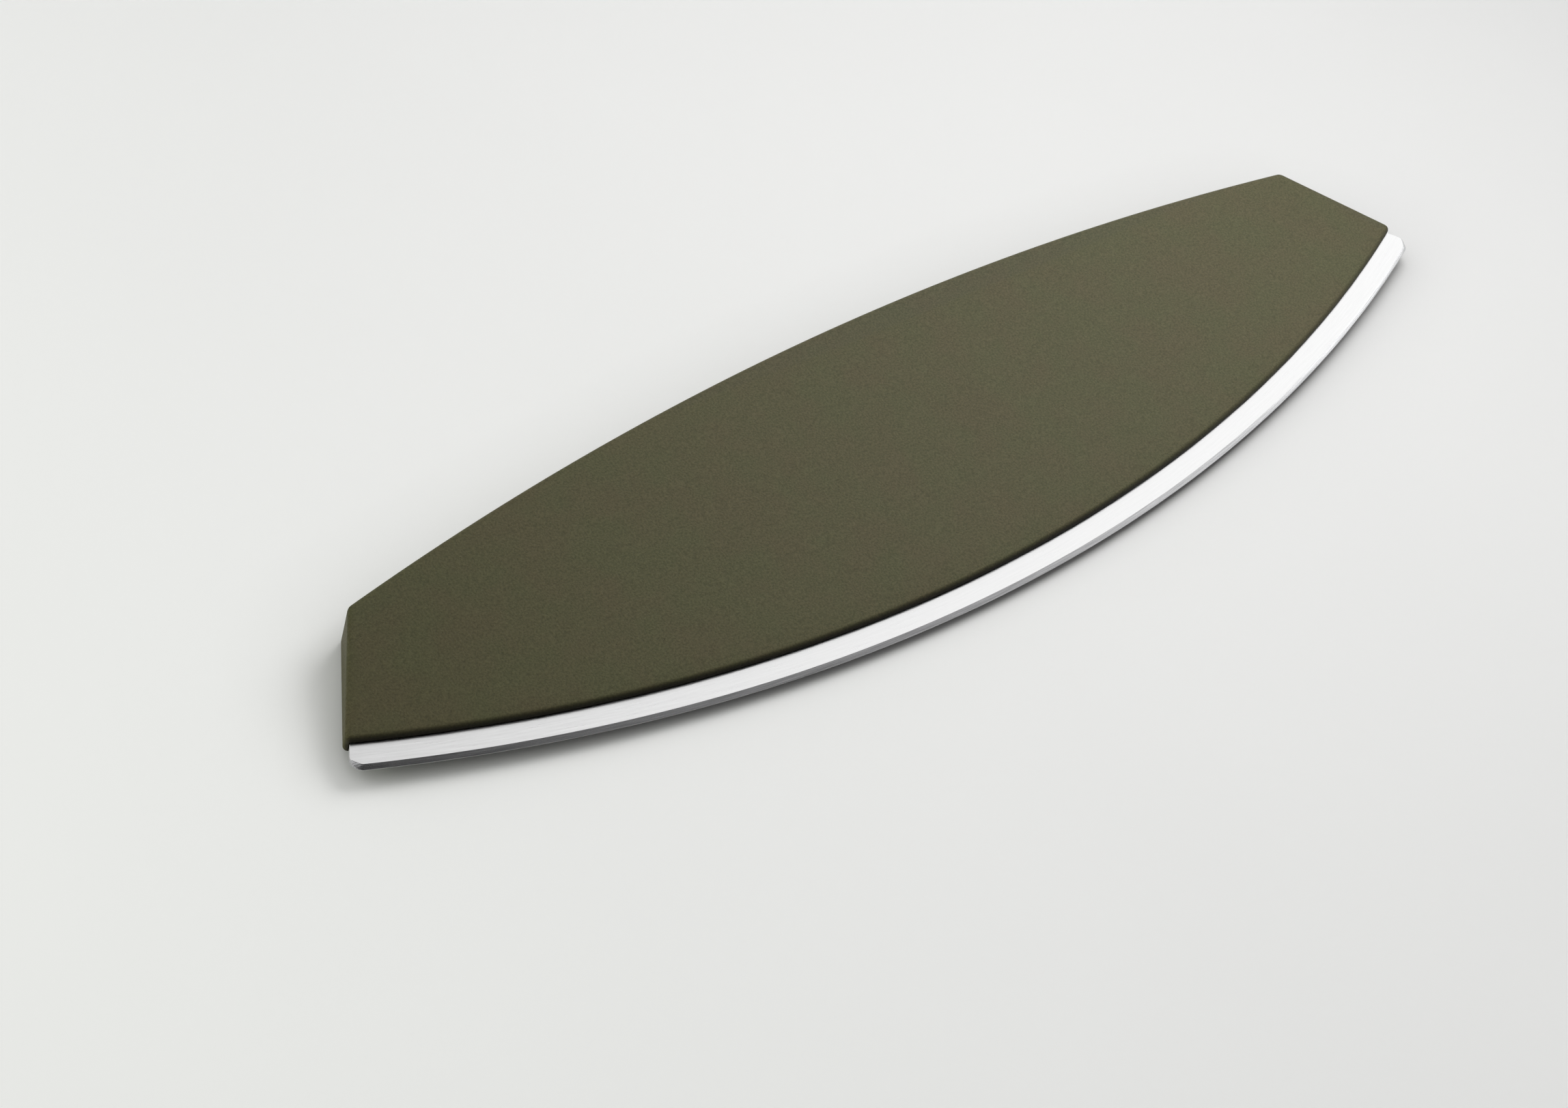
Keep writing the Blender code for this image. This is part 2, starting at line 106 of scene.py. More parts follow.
@dataclass(frozen=True)
class KnifeSizes:
    """Sizes and places that the handle and the blade share, in the blade's own frame.

    A curved bar reaches past the knife by swing_spare before its ends are cut. The record's mount on the
    blade's front stands mount_below_lip from the lip.
    """

    length: float = 370 * MM
    spine_length: float = 329 * MM
    spine_corner_height: float = 67.5 * MM
    spine_rise: float = 15 * MM
    lip_radius: float = 472 * MM
    blade_showing: float = 7.1 * MM
    blade_thickness: float = 2.0 * MM
    tang_depth: float = 28 * MM
    tang_end_setback: float = 7.0 * MM
    shoulder_depth: float = 1.5 * MM
    blade_end_setback: float = 1.25 * MM
    pin_count: int = 6
    pin_span: float = 290 * MM
    pin_height: float = 19 * MM
    pin_diameter: float = 4.0 * MM
    pin_length: float = 4.8 * MM
    fit: float = 0.3 * MM
    pin_fit: float = 0.1 * MM
    length_steps: int = 96
    swing_spare: float = 10 * MM
    mount_below_lip: float = 4 * MM

    @property
    def spine_radius(self) -> float:
        """Radius of the arc of the spine."""
        return ((self.spine_length / 2) ** 2 + self.spine_rise**2) / (2 * self.spine_rise)

    @property
    def lip_centre(self) -> Vector:
        """Centre of the arcs of the lip, the tang and the cutting edge."""
        return Vector((0.0, self.lip_radius, 0.0))

    @property
    def spine_centre(self) -> Vector:
        """Centre of the arc of the spine."""
        return Vector((0.0, self.spine_corner_height + self.spine_rise - self.spine_radius, 0.0))

    @property
    def lip_corner(self) -> Vector:
        """Right end of the lip."""
        half = self.length / 2
        return Vector((half, self.lip_radius - math.sqrt(self.lip_radius**2 - half**2), 0.0))

    @property
    def spine_corner(self) -> Vector:
        """Right end of the spine."""
        return Vector((self.spine_length / 2, self.spine_corner_height, 0.0))

    def end_plane(self, setback: float, end: End) -> tuple[Vector, Vector]:
        """The upright plane of one end of the knife.

        Args:
            setback: How far the plane lies inside the handle's end.
            end: Which end.

        Returns:
            A point of the plane and the plane's normal, away from the knife.
        """
        along = (self.spine_corner - self.lip_corner).normalized()
        outwards = Vector((along.y, -along.x, 0.0))
        point = self.lip_corner - outwards * setback
        return Vector((point.x * end.value, point.y, 0.0)), Vector((outwards.x * end.value, outwards.y, 0.0))

    def pin_centres(self) -> list[Vector]:
        """Places of the pins, evenly spread along an arc above the lip."""
        radius = self.lip_radius - self.pin_height
        widest = math.asin(self.pin_span / 2 / radius)
        turns = [widest * (2 * index / (self.pin_count - 1) - 1) for index in range(self.pin_count)]
        return [self.lip_centre + Vector((math.sin(turn), -math.cos(turn), 0.0)) * radius for turn in turns]


@dataclass(frozen=True)
class RestPose:
    """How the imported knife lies: the blade's frame turned about X and moved."""

    tilt: float
    shift: Vector

    @classmethod
    def from_record(cls, record: dict, sizes: KnifeSizes) -> "RestPose":
        """Works the pose out from the mount on the front of the blade.

        Args:
            record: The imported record.
            sizes: The knife's shared sizes.

        Returns:
            The pose whose turn and shift put the blade's front flat where the record has it.
        """
        mount = next(mount for mount in record["mounts"] if mount["name"] == "blade_front_flat")
        tilt = math.atan2(-mount["axis"][1], mount["axis"][2])
        along = mount["pos_m"][0]
        radius = sizes.lip_radius + sizes.mount_below_lip
        height = sizes.lip_radius - math.sqrt(radius**2 - along**2)
        place = Vector((along, height, sizes.blade_thickness / 2))
        return cls(tilt, Vector(mount["pos_m"]) - Matrix.Rotation(tilt, 3, "X") @ place)

    @property
    def matrix(self) -> Matrix:
        """From the blade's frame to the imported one."""
        return Matrix.Translation(self.shift) @ Matrix.Rotation(self.tilt, 4, "X")

    def lay(self, piece: bpy.types.Object) -> None:
        """Lays a piece down and puts its place into its mesh."""
        pick_out(piece)
        piece.matrix_world = self.matrix
        bpy.ops.object.transform_apply(location=True, rotation=True, scale=True)


def pick_out(piece: bpy.types.Object) -> None:
    """Selects one object and nothing else, and makes it the active one."""
    bpy.ops.object.select_all(action="DESELECT")
    piece.select_set(True)
    bpy.context.view_layer.objects.active = piece


@contextmanager
def editing(piece: bpy.types.Object, elements: str = "EDGE") -> Iterator[None]:
    """Opens one piece in edit mode with nothing in it selected, and closes it again.

    Args:
        piece: The mesh to work on.
        elements: What is selected, VERT, EDGE or FACE.
    """
    pick_out(piece)
    bpy.ops.object.mode_set(mode="EDIT")
    bpy.ops.mesh.select_mode(type=elements)
    bpy.ops.mesh.select_all(action="DESELECT")
    yield
    bpy.ops.object.mode_set(mode="OBJECT")


def select_edges(piece: bpy.types.Object, test: Callable[[bmesh.types.BMEdge], bool]) -> None:
    """Selects the edges that pass a test, in edit mode.

    Args:
        piece: The mesh that is open in edit mode.
        test: Says for an edge whether it is wanted.
    """
    bpy.ops.mesh.select_all(action="DESELECT")
    mesh = bmesh.from_edit_mesh(piece.data)
    for edge in [edge for edge in mesh.edges if test(edge)]:
        edge.select_set(True)
    bmesh.update_edit_mesh(piece.data)


def sweep(centre: Vector, turn: float, steps: int) -> None:
    """Spins the selection about an upright axis, anticlockwise for a positive turn, in edit mode."""
    # The operator turns the other way, so its angle is the turn's opposite.
    bpy.ops.mesh.spin(steps=steps, angle=-turn, center=centre, axis=(0.0, 0.0, 1.0))


def cut_away(point: Vector, normal: Vector, inner: bool = False) -> None:
    """Cuts the open mesh along a plane, closes the cut and drops one side.

    Args:
        point: A point of the plane.
        normal: The plane's normal.
        inner: Drops the side that the normal points away from, and otherwise the side that it points to.
    """
    bpy.ops.mesh.select_all(action="SELECT")
    bpy.ops.mesh.bisect(
        plane_co=point,
        plane_no=normal,
        use_fill=True,
        clear_inner=inner,
        clear_outer=not inner,
        threshold=CUT_MATCH,
    )


def face_outwards(piece: bpy.types.Object) -> None:
    """Merges doubled points and turns every face of a closed mesh outwards."""
    with editing(piece):
        bpy.ops.mesh.select_all(action="SELECT")
        bpy.ops.mesh.remove_doubles(threshold=DOUBLE_MATCH)
        bpy.ops.mesh.normals_make_consistent(inside=False)
        if bmesh.from_edit_mesh(piece.data).calc_volume(signed=True) < 0:
            bpy.ops.mesh.flip_normals()


def join(pieces: list[bpy.types.Object]) -> bpy.types.Object:
    """Joins several meshes into the first of them."""
    pick_out(pieces[0])
    for piece in pieces[1:]:
        piece.select_set(True)
    bpy.ops.object.join()
    return pieces[0]


def cut_out(piece: bpy.types.Object, cutter: bpy.types.Object) -> None:
    """Takes a cutter's shape out of a piece, and deletes the cutter."""
    face_outwards(cutter)
    pick_out(piece)
    bpy.ops.object.modifier_add(type="BOOLEAN")
    modifier = piece.modifiers[-1]
    modifier.operation = "DIFFERENCE"
    modifier.solver = "EXACT"
    modifier.object = cutter
    bpy.ops.object.modifier_apply(modifier=modifier.name)
    bpy.data.objects.remove(cutter)
    face_outwards(piece)


def arc_line(name: str, start: Vector, centre: Vector, turn: float, steps: int) -> bpy.types.Object:
    """A line of edges along an arc, made from one point.

    Args:
        name: The object's name.
        start: Where the arc starts.
        centre: The arc's centre.
        turn: How far the arc goes round, anticlockwise.
        steps: The number of edges.

    Returns:
        The line's object.
    """
    bpy.ops.mesh.primitive_plane_add(size=MM, location=start)
    line = bpy.context.object
    line.name = name
    bpy.ops.object.transform_apply(location=True, rotation=True, scale=True)
    with editing(line, "VERT"):
        bpy.ops.mesh.select_all(action="SELECT")
        bpy.ops.mesh.merge(type="CENTER")
        sweep(centre, turn, steps)
    return line


def radial_plate(
    name: str, sizes: KnifeSizes, inner: float, outer: float, thickness: float
) -> bpy.types.Object:
    """A flat cross-section of a curved bar, standing in the plane X = 0.

    Args:
        name: The object's name.
        sizes: The knife's shared sizes.
        inner: Distance of its inner border from the lip's centre.
        outer: Distance of its outer border from the lip's centre.
        thickness: Its extent along Z.

    Returns:
        The cross-section's object, with its size in its mesh.
    """
    middle = sizes.lip_radius - (inner + outer) / 2
    bpy.ops.mesh.primitive_plane_add(size=1, location=(0.0, middle, 0.0), rotation=(0.0, math.pi / 2, 0.0))
    plate = bpy.context.object
    plate.name = name
    plate.scale = (thickness, outer - inner, 1.0)
    bpy.ops.object.transform_apply(location=True, rotation=True, scale=True)
    return plate


def swing_round(plate: bpy.types.Object, sizes: KnifeSizes) -> None:
    """Swings a cross-section about the lip's centre into a curved bar that is longer than the knife."""
    turn = math.asin((sizes.length / 2 + sizes.swing_spare) / sizes.lip_radius)
    with editing(plate, "FACE"):
        bpy.ops.mesh.select_all(action="SELECT")
        bpy.ops.transform.rotate(value=turn, orient_axis="Z", center_override=sizes.lip_centre)
        sweep(sizes.lip_centre, 2 * turn, sizes.length_steps)
    face_outwards(plate)


def upright_cylinders(name: str, centres: list[Vector], radius: float, height: float) -> bpy.types.Object:
    """Cylinders about the plane Z = 0, joined into one object."""
    cylinders = []
    for centre in centres:
        bpy.ops.mesh.primitive_cylinder_add(
            vertices=CYLINDER_SIDES, radius=radius, depth=height, location=centre
        )
        cylinders.append(bpy.context.object)
        bpy.ops.object.transform_apply(location=True, rotation=True, scale=True)
    cylinders[0].name = name
    return join(cylinders)


def linear(colour: Colour) -> tuple[float, float, float, float]:
    """A colour as seen on screen, from 0 to 1, in the light that a shader works with."""
    red, green, blue = (
        channel / 12.92 if channel < 0.04045 else ((channel + 0.055) / 1.055) ** 2.4 for channel in colour
    )
    return red, green, blue, 1.0


class Recipe:
    """The nodes of a material or of the world, added one after another and joined up."""

    def __init__(self, owner: bpy.types.Material | bpy.types.World, shader: str = "Principled BSDF") -> None:
        """Starts from the owner's own shader node."""
        owner.use_nodes = True
        self.owner = owner
        self.tree = owner.node_tree
        self.shader = self.tree.nodes[shader]

    def add(self, kind: str, inputs: dict | None = None, **settings: object) -> bpy.types.Node:
        """Adds a node.

        Args:
            kind: The node's type, without the ShaderNode before it.
            inputs: Values or other nodes' sockets, by the name or number of the input that they go to.
            settings: The node's own settings, such as operation.

        Returns:
            The node.
        """
        node = self.tree.nodes.new("ShaderNode" + kind)
        for name, value in settings.items():
            setattr(node, name, value)
        for key, value in (inputs or {}).items():
            self.feed(node.inputs[key], value)
        return node

    def feed(self, socket: bpy.types.NodeSocket, value: object) -> None:
        """Joins a socket to another node's output, or sets its value."""
        if isinstance(value, bpy.types.NodeSocket):
            self.tree.links.new(value, socket)
        else:
            socket.default_value = value

    def finish(self, inputs: dict) -> bpy.types.Material | bpy.types.World:
        """Feeds the shader's own inputs, by name, and gives the owner back."""
        for name, value in inputs.items():
            self.feed(self.shader.inputs[name], value)
        return self.owner

    def math(self, operation: str, first: object, second: object = 0.0) -> bpy.types.NodeSocket:
        """The result of one sum on two values or sockets."""
        return self.add("Math", {0: first, 1: second}, operation=operation).outputs[0]

    def noise(
        self, vector: bpy.types.NodeSocket, scale: float, detail: float, roughness: float
    ) -> bpy.types.NodeSocket:
        """Noise between 0 and 1."""
        inputs = {"Vector": vector, "Scale": scale, "Detail": detail, "Roughness": roughness}
        return self.add("TexNoise", inputs).outputs[0]

    def spread(
        self, value: bpy.types.NodeSocket, source: Range, target: tuple, ramp: str = "LINEAR"
    ) -> bpy.types.NodeSocket:
        """Carries a range of values over to another, and keeps within it.

        Args:
            value: What is carried over.
            source: The range that it comes from.
            target: The range that it goes to, each end a value or a socket.
            ramp: How it goes from one end to the other.

        Returns:
            The value in the new range.
        """
        ends = dict(zip(("From Min", "From Max", "To Min", "To Max"), (*source, *target)))
        return self.add("MapRange", {"Value": value, **ends}, interpolation_type=ramp).outputs["Result"]

    def blend(self, share: object, first: object, second: object, mode: str = "MIX") -> bpy.types.NodeSocket:
        """Mixes two colours."""
        node = self.add("Mix", data_type="RGBA", blend_type=mode)
        for socket, value in ((node.inputs[0], share), (node.inputs[6], first), (node.inputs[7], second)):
            self.feed(socket, value)
        return node.outputs[2]

    def shaded(self, colour: object, shade: bpy.types.NodeSocket) -> bpy.types.NodeSocket:
        """A colour made darker or lighter by a shade, which leaves it as it is at 1."""
        grey = self.add("CombineColor", {0: shade, 1: shade, 2: shade}).outputs[0]
        return self.blend(1.0, colour, grey, "MULTIPLY")

    def stretched(self, vector: bpy.types.NodeSocket, scale: Point) -> bpy.types.NodeSocket:
        """A place stretched by its own factor along each axis."""
        return self.add("Mapping", {"Vector": vector, "Scale": scale}).outputs["Vector"]

    def distance(self, place: bpy.types.NodeSocket, centre: Point | Vector) -> bpy.types.NodeSocket:
        """How far a place is from a centre."""
        return self.add("VectorMath", {0: place, 1: centre}, operation="DISTANCE").outputs["Value"]

    def along(self, place: bpy.types.NodeSocket) -> bpy.types.NodeSocket:
        """The X part of a place."""
        return self.add("SeparateXYZ", {0: place}).outputs[0]

    def own_place(self) -> bpy.types.NodeSocket:
        """The surface's place as the knife lies."""
        return self.add("TexCoord").outputs["Object"]

    def blade_place(self, pose: RestPose) -> bpy.types.NodeSocket:
        """The surface's place in the blade's own frame."""
        back = pose.matrix.inverted()
        inputs = {"Vector": self.own_place(), "Location": back.to_translation(), "Rotation": back.to_euler()}
        return self.add("Mapping", inputs).outputs["Vector"]

    def seen(self, rays: tuple[str, ...]) -> bpy.types.NodeSocket:
        """1 for rays of these kinds that no matt surface has sent on yet, and 0 for all others."""
        path = self.add("LightPath")
        found = path.outputs[rays[0]]
        for ray in rays[1:]:
            found = self.math("MAXIMUM", found, path.outputs[ray])
        return self.math("MULTIPLY", found, self.math("LESS_THAN", path.outputs["Diffuse Depth"], 0.5))


@dataclass(frozen=True)
class OlivePlastic:
    """Matte olive plastic with a fine leathery grain, soft mottling and a few pits.

    A shade is painted into its colour at the lip's foot, just above the blade, and is weaker towards the
    knife's right end.
    """

    green: Colour = (0.278, 0.275, 0.175)
    brown: Colour = (0.288, 0.270, 0.178)
    roughness: float = 0.58
    specular: float = 0.25
    patch_scale: float = 75.0
    patch_border: Range = (0.36, 0.64)
    grain_scale: float = 1800.0
    grain_height: float = 0.09 * MM
    # The grain's light and dark tone is partly the plastic's own and partly painted shading of the grain's
    # relief.
    grain_shade: Range = (0.72, 1.28)
    grain_gloss: Range = (0.06, -0.05)
    pit_scale: float = 260.0
    pit_size: Range = (0.02, 0.05)
    pit_shade: float = 0.55
    cells_without_pit: float = 0.6
    # Painted shade at the lip's foot: its strength in the middle and at the right end, the stretch along X
    # where it weakens, and how far up from the blade it reaches.
    painted_foot_shade: Range = (0.20, 0.65)
    painted_foot_shade_fades: Range = (40 * MM, 110 * MM)
    painted_foot_shade_reach: float = 1.05 * MM

    def make(self, sizes: KnifeSizes, pose: RestPose) -> bpy.types.Material:
        """Makes the material.

        Args:
            sizes: The knife's shared sizes, for where the nook is.
            pose: How the pieces lie.

        Returns:
            The material.
        """
        recipe = Recipe(bpy.data.materials.new("olive_plastic"))
        place = recipe.blade_place(pose)
        grain = recipe.noise(place, self.grain_scale, 3.0, 0.65)
        pits = self.pits(recipe, place)
        # Grain tone: partly the plastic's own, partly painted shading of the grain's relief.
        shade = recipe.spread(grain, NOISE_RANGE, self.grain_shade)
        shade = recipe.math("MULTIPLY", shade, recipe.spread(pits, (0.0, 1.0), (1.0, self.pit_shade)))
        # Painted shade darkens the colour at the lip's foot.
        shade = recipe.math("MULTIPLY", shade, self.painted_nook_shade(recipe, place, sizes))
        height = recipe.math("SUBTRACT", grain, pits)
        bump = recipe.add("Bump", {"Height": height, "Distance": self.grain_height, "Strength": 1.0})
        gloss = (self.roughness + self.grain_gloss[0], self.roughness + self.grain_gloss[1])
        return recipe.finish(
            {
                "Base Color": recipe.shaded(self.mottling(recipe, place), shade),
                "Roughness": recipe.spread(grain, NOISE_RANGE, gloss),
                "Specular IOR Level": self.specular,
                "Normal": bump.outputs["Normal"],
            }
        )

    def mottling(self, recipe: Recipe, place: bpy.types.NodeSocket) -> bpy.types.NodeSocket:
        """Soft patches of the green and the brown."""
        patch = recipe.spread(recipe.noise(place, self.patch_scale, 3.0, 0.55), self.patch_border, (0.0, 1.0))
        return recipe.blend(patch, linear(self.green), linear(self.brown))

    def pits(self, recipe: Recipe, place: bpy.types.NodeSocket) -> bpy.types.NodeSocket:
        """1 in the pits, which lie in the middle of some cells of a random pattern, and 0 elsewhere."""
        cells = recipe.add("TexVoronoi", {"Vector": place, "Scale": self.pit_scale})
        draw = recipe.add("SeparateColor", {0: cells.outputs["Color"]}).outputs[0]
        has_pit = recipe.math("GREATER_THAN", draw, self.cells_without_pit)
        hollow = recipe.spread(cells.outputs["Distance"], self.pit_size, (1.0, 0.0))
        return recipe.math("MULTIPLY", hollow, has_pit)

    def painted_nook_shade(self, recipe: Recipe, place: bpy.types.NodeSocket, sizes: KnifeSizes) -> bpy.types.NodeSocket:
        """Painted shade at the lip's foot, just above the blade, weaker towards the knife's right end."""
        foot = recipe.spread(recipe.along(place), self.painted_foot_shade_fades, self.painted_foot_shade)
        reach = (sizes.lip_radius - self.painted_foot_shade_reach, sizes.lip_radius)
        return recipe.spread(recipe.distance(place, sizes.lip_centre), reach, (1.0, foot))


@dataclass(frozen=True)
class BrushedSteel:
    """Steel with fine lines that follow the blade's arc, read from its own map of arc length and radius."""

    name: str
    colour: Colour = (0.80, 0.80, 0.80)
    roughness: float = 0.3
    anisotropy: float = 0.55
    contrast: float = 0.09
    line_scale: Point = (80.0, 1300.0, 1.0)
    line_depth: float = 0.05 * MM
    line_strength: float = 0.6
    line_share: float = 0.75
    band_scale: Point = (6.0, 900.0, 1.0)
    bright_share: float = 0.7
    line_gloss: Range = (-0.05, 0.06)

    def make(self) -> bpy.types.Material:
        """Makes the material, whose shade and gloss follow the lines and some broad bands together."""
        recipe = Recipe(bpy.data.materials.new(self.name))
        unrolled = recipe.add("UVMap", uv_map="unrolled").outputs["UV"]
        lines = recipe.noise(recipe.stretched(unrolled, self.line_scale), 1.0, 4.0, 0.65)
        bands = recipe.noise(recipe.stretched(unrolled, self.band_scale), 1.0, 3.0, 0.5)
        lines_part = recipe.math("MULTIPLY", lines, self.line_share)
        brushing = recipe.math("ADD", lines_part, recipe.math("MULTIPLY", bands, 1.0 - self.line_share))
        shades = (1.0 - self.contrast, 1.0 + self.bright_share * self.contrast)
        shade = recipe.spread(brushing, NOISE_RANGE, shades)
        gloss = (self.roughness + self.line_gloss[0], self.roughness + self.line_gloss[1])
        bump_inputs = {"Height": lines, "Distance": self.line_depth, "Strength": self.line_strength}
        return recipe.finish(
            {
                "Base Color": recipe.shaded(linear(self.colour), shade),
                "Roughness": recipe.spread(brushing, NOISE_RANGE, gloss),
                "Metallic": 1.0,
                "Anisotropic": self.anisotropy,
                "Tangent": recipe.add("Tangent", direction_type="UV_MAP", uv_map="unrolled").outputs[0],
                "Normal": recipe.add("Bump", bump_inputs).outputs["Normal"],
            }
        )


@dataclass(frozen=True)
class PinSteel:
    """Satin turned steel of the pins inside the handle."""

    colour: Colour = (0.70, 0.70, 0.69)
    roughness: float = 0.35
    ring_scale: Point = (200.0, 200.0, 9000.0)
    ring_shade: Range = (0.85, 1.05)
    ring_gloss: Range = (-0.05, 0.08)

    def make(self) -> bpy.types.Material:
        """Makes the material."""
        recipe = Recipe(bpy.data.materials.new("pin_satin_steel"))
        rings = recipe.noise(recipe.stretched(recipe.own_place(), self.ring_scale), 1.0, 3.0, 0.5)
        shade = recipe.spread(rings, NOISE_RANGE, self.ring_shade)
        gloss = (self.roughness + self.ring_gloss[0], self.roughness + self.ring_gloss[1])
        return recipe.finish(
            {
                "Base Color": recipe.shaded(linear(self.colour), shade),
                "Roughness": recipe.spread(rings, NOISE_RANGE, gloss),
                "Metallic": 1.0,
            }
        )


@dataclass(frozen=True)
class PaleFloor:
    """A pale matt table top. It lights the knife from below no more than a darker one would.

    Where it is seen directly it glows a little, which keeps it evenly pale: most of all far from the knife,
    where less of the lamps' light shows. Close under the knife ambient occlusion takes the glow away, which
    paints a contact shadow there. A shade painted into its colour, darkest under the key lamp, takes the edge
    off the bright patch of light there.
    """

    seen: Colour = (0.96, 0.96, 0.955)
    far_seen: Colour = (0.42, 0.42, 0.42)
    bounce: Colour = (0.50, 0.485, 0.47)
    glow: Range = (0.20, 0.70)
    clearing: Range = (0.24, 0.58)
    mottle_scale: float = 9.0
    mottle_shade: Range = (0.985, 1.0)
    # A shade painted into the floor's colour, darkest under the key lamp, against its bright patch of light.
    under_key: Point = (0.22, 0.07, 0.0)
    under_key_shade: float = 0.50
    key_reach: float = 0.60
    # Reach, samples and openness range of the ambient occlusion that paints the contact shadow under the knife.
    painted_shadow_reach: float = 30 * MM
    painted_shadow_samples: int = 8
    painted_shadow_open: Range = (0.35, 1.0)
    roughness: float = 0.85
    specular: float = 0.1

    def make(self) -> bpy.types.Material:
        """Makes the material."""
        recipe = Recipe(bpy.data.materials.new("pale_floor"))
        place = recipe.own_place()
        mottle = recipe.noise(place, self.mottle_scale, 3.0, 0.5)
        shade = recipe.spread(mottle, NOISE_RANGE, self.mottle_shade)
        # Painted shade, darkest right under the key lamp.
        from_key = recipe.distance(place, self.under_key)
        painted_key_shade = recipe.spread(from_key, (0.0, self.key_reach), (self.under_key_shade, 1.0), "SMOOTHSTEP")
        direct = recipe.seen(DIRECT_RAYS)
        far = recipe.spread(recipe.distance(place, (0.0, 0.0, 0.0)), self.clearing, (0.0, 1.0), "SMOOTHSTEP")
        seen = recipe.blend(far, linear(self.seen), linear(self.far_seen))
        # Ambient occlusion takes the glow away close under the knife: a painted contact shadow.
        painted_nook_shade = recipe.add("AmbientOcclusion", {"Distance": self.painted_shadow_reach}, samples=self.painted_shadow_samples)
        open_air = recipe.spread(painted_nook_shade.outputs["AO"], self.painted_shadow_open, (0.0, 1.0))
        glow = recipe.math("MULTIPLY", open_air, recipe.spread(far, (0.0, 1.0), self.glow))
        colour = recipe.blend(direct, linear(self.bounce), seen)
        return recipe.finish(
            {
                "Base Color": recipe.shaded(colour, recipe.math("MULTIPLY", shade, painted_key_shade)),
                "Emission Color": WHITE,
                "Emission Strength": recipe.math("MULTIPLY", direct, glow),
                "Roughness": self.roughness,
                "Specular IOR Level": self.specular,
            }
        )


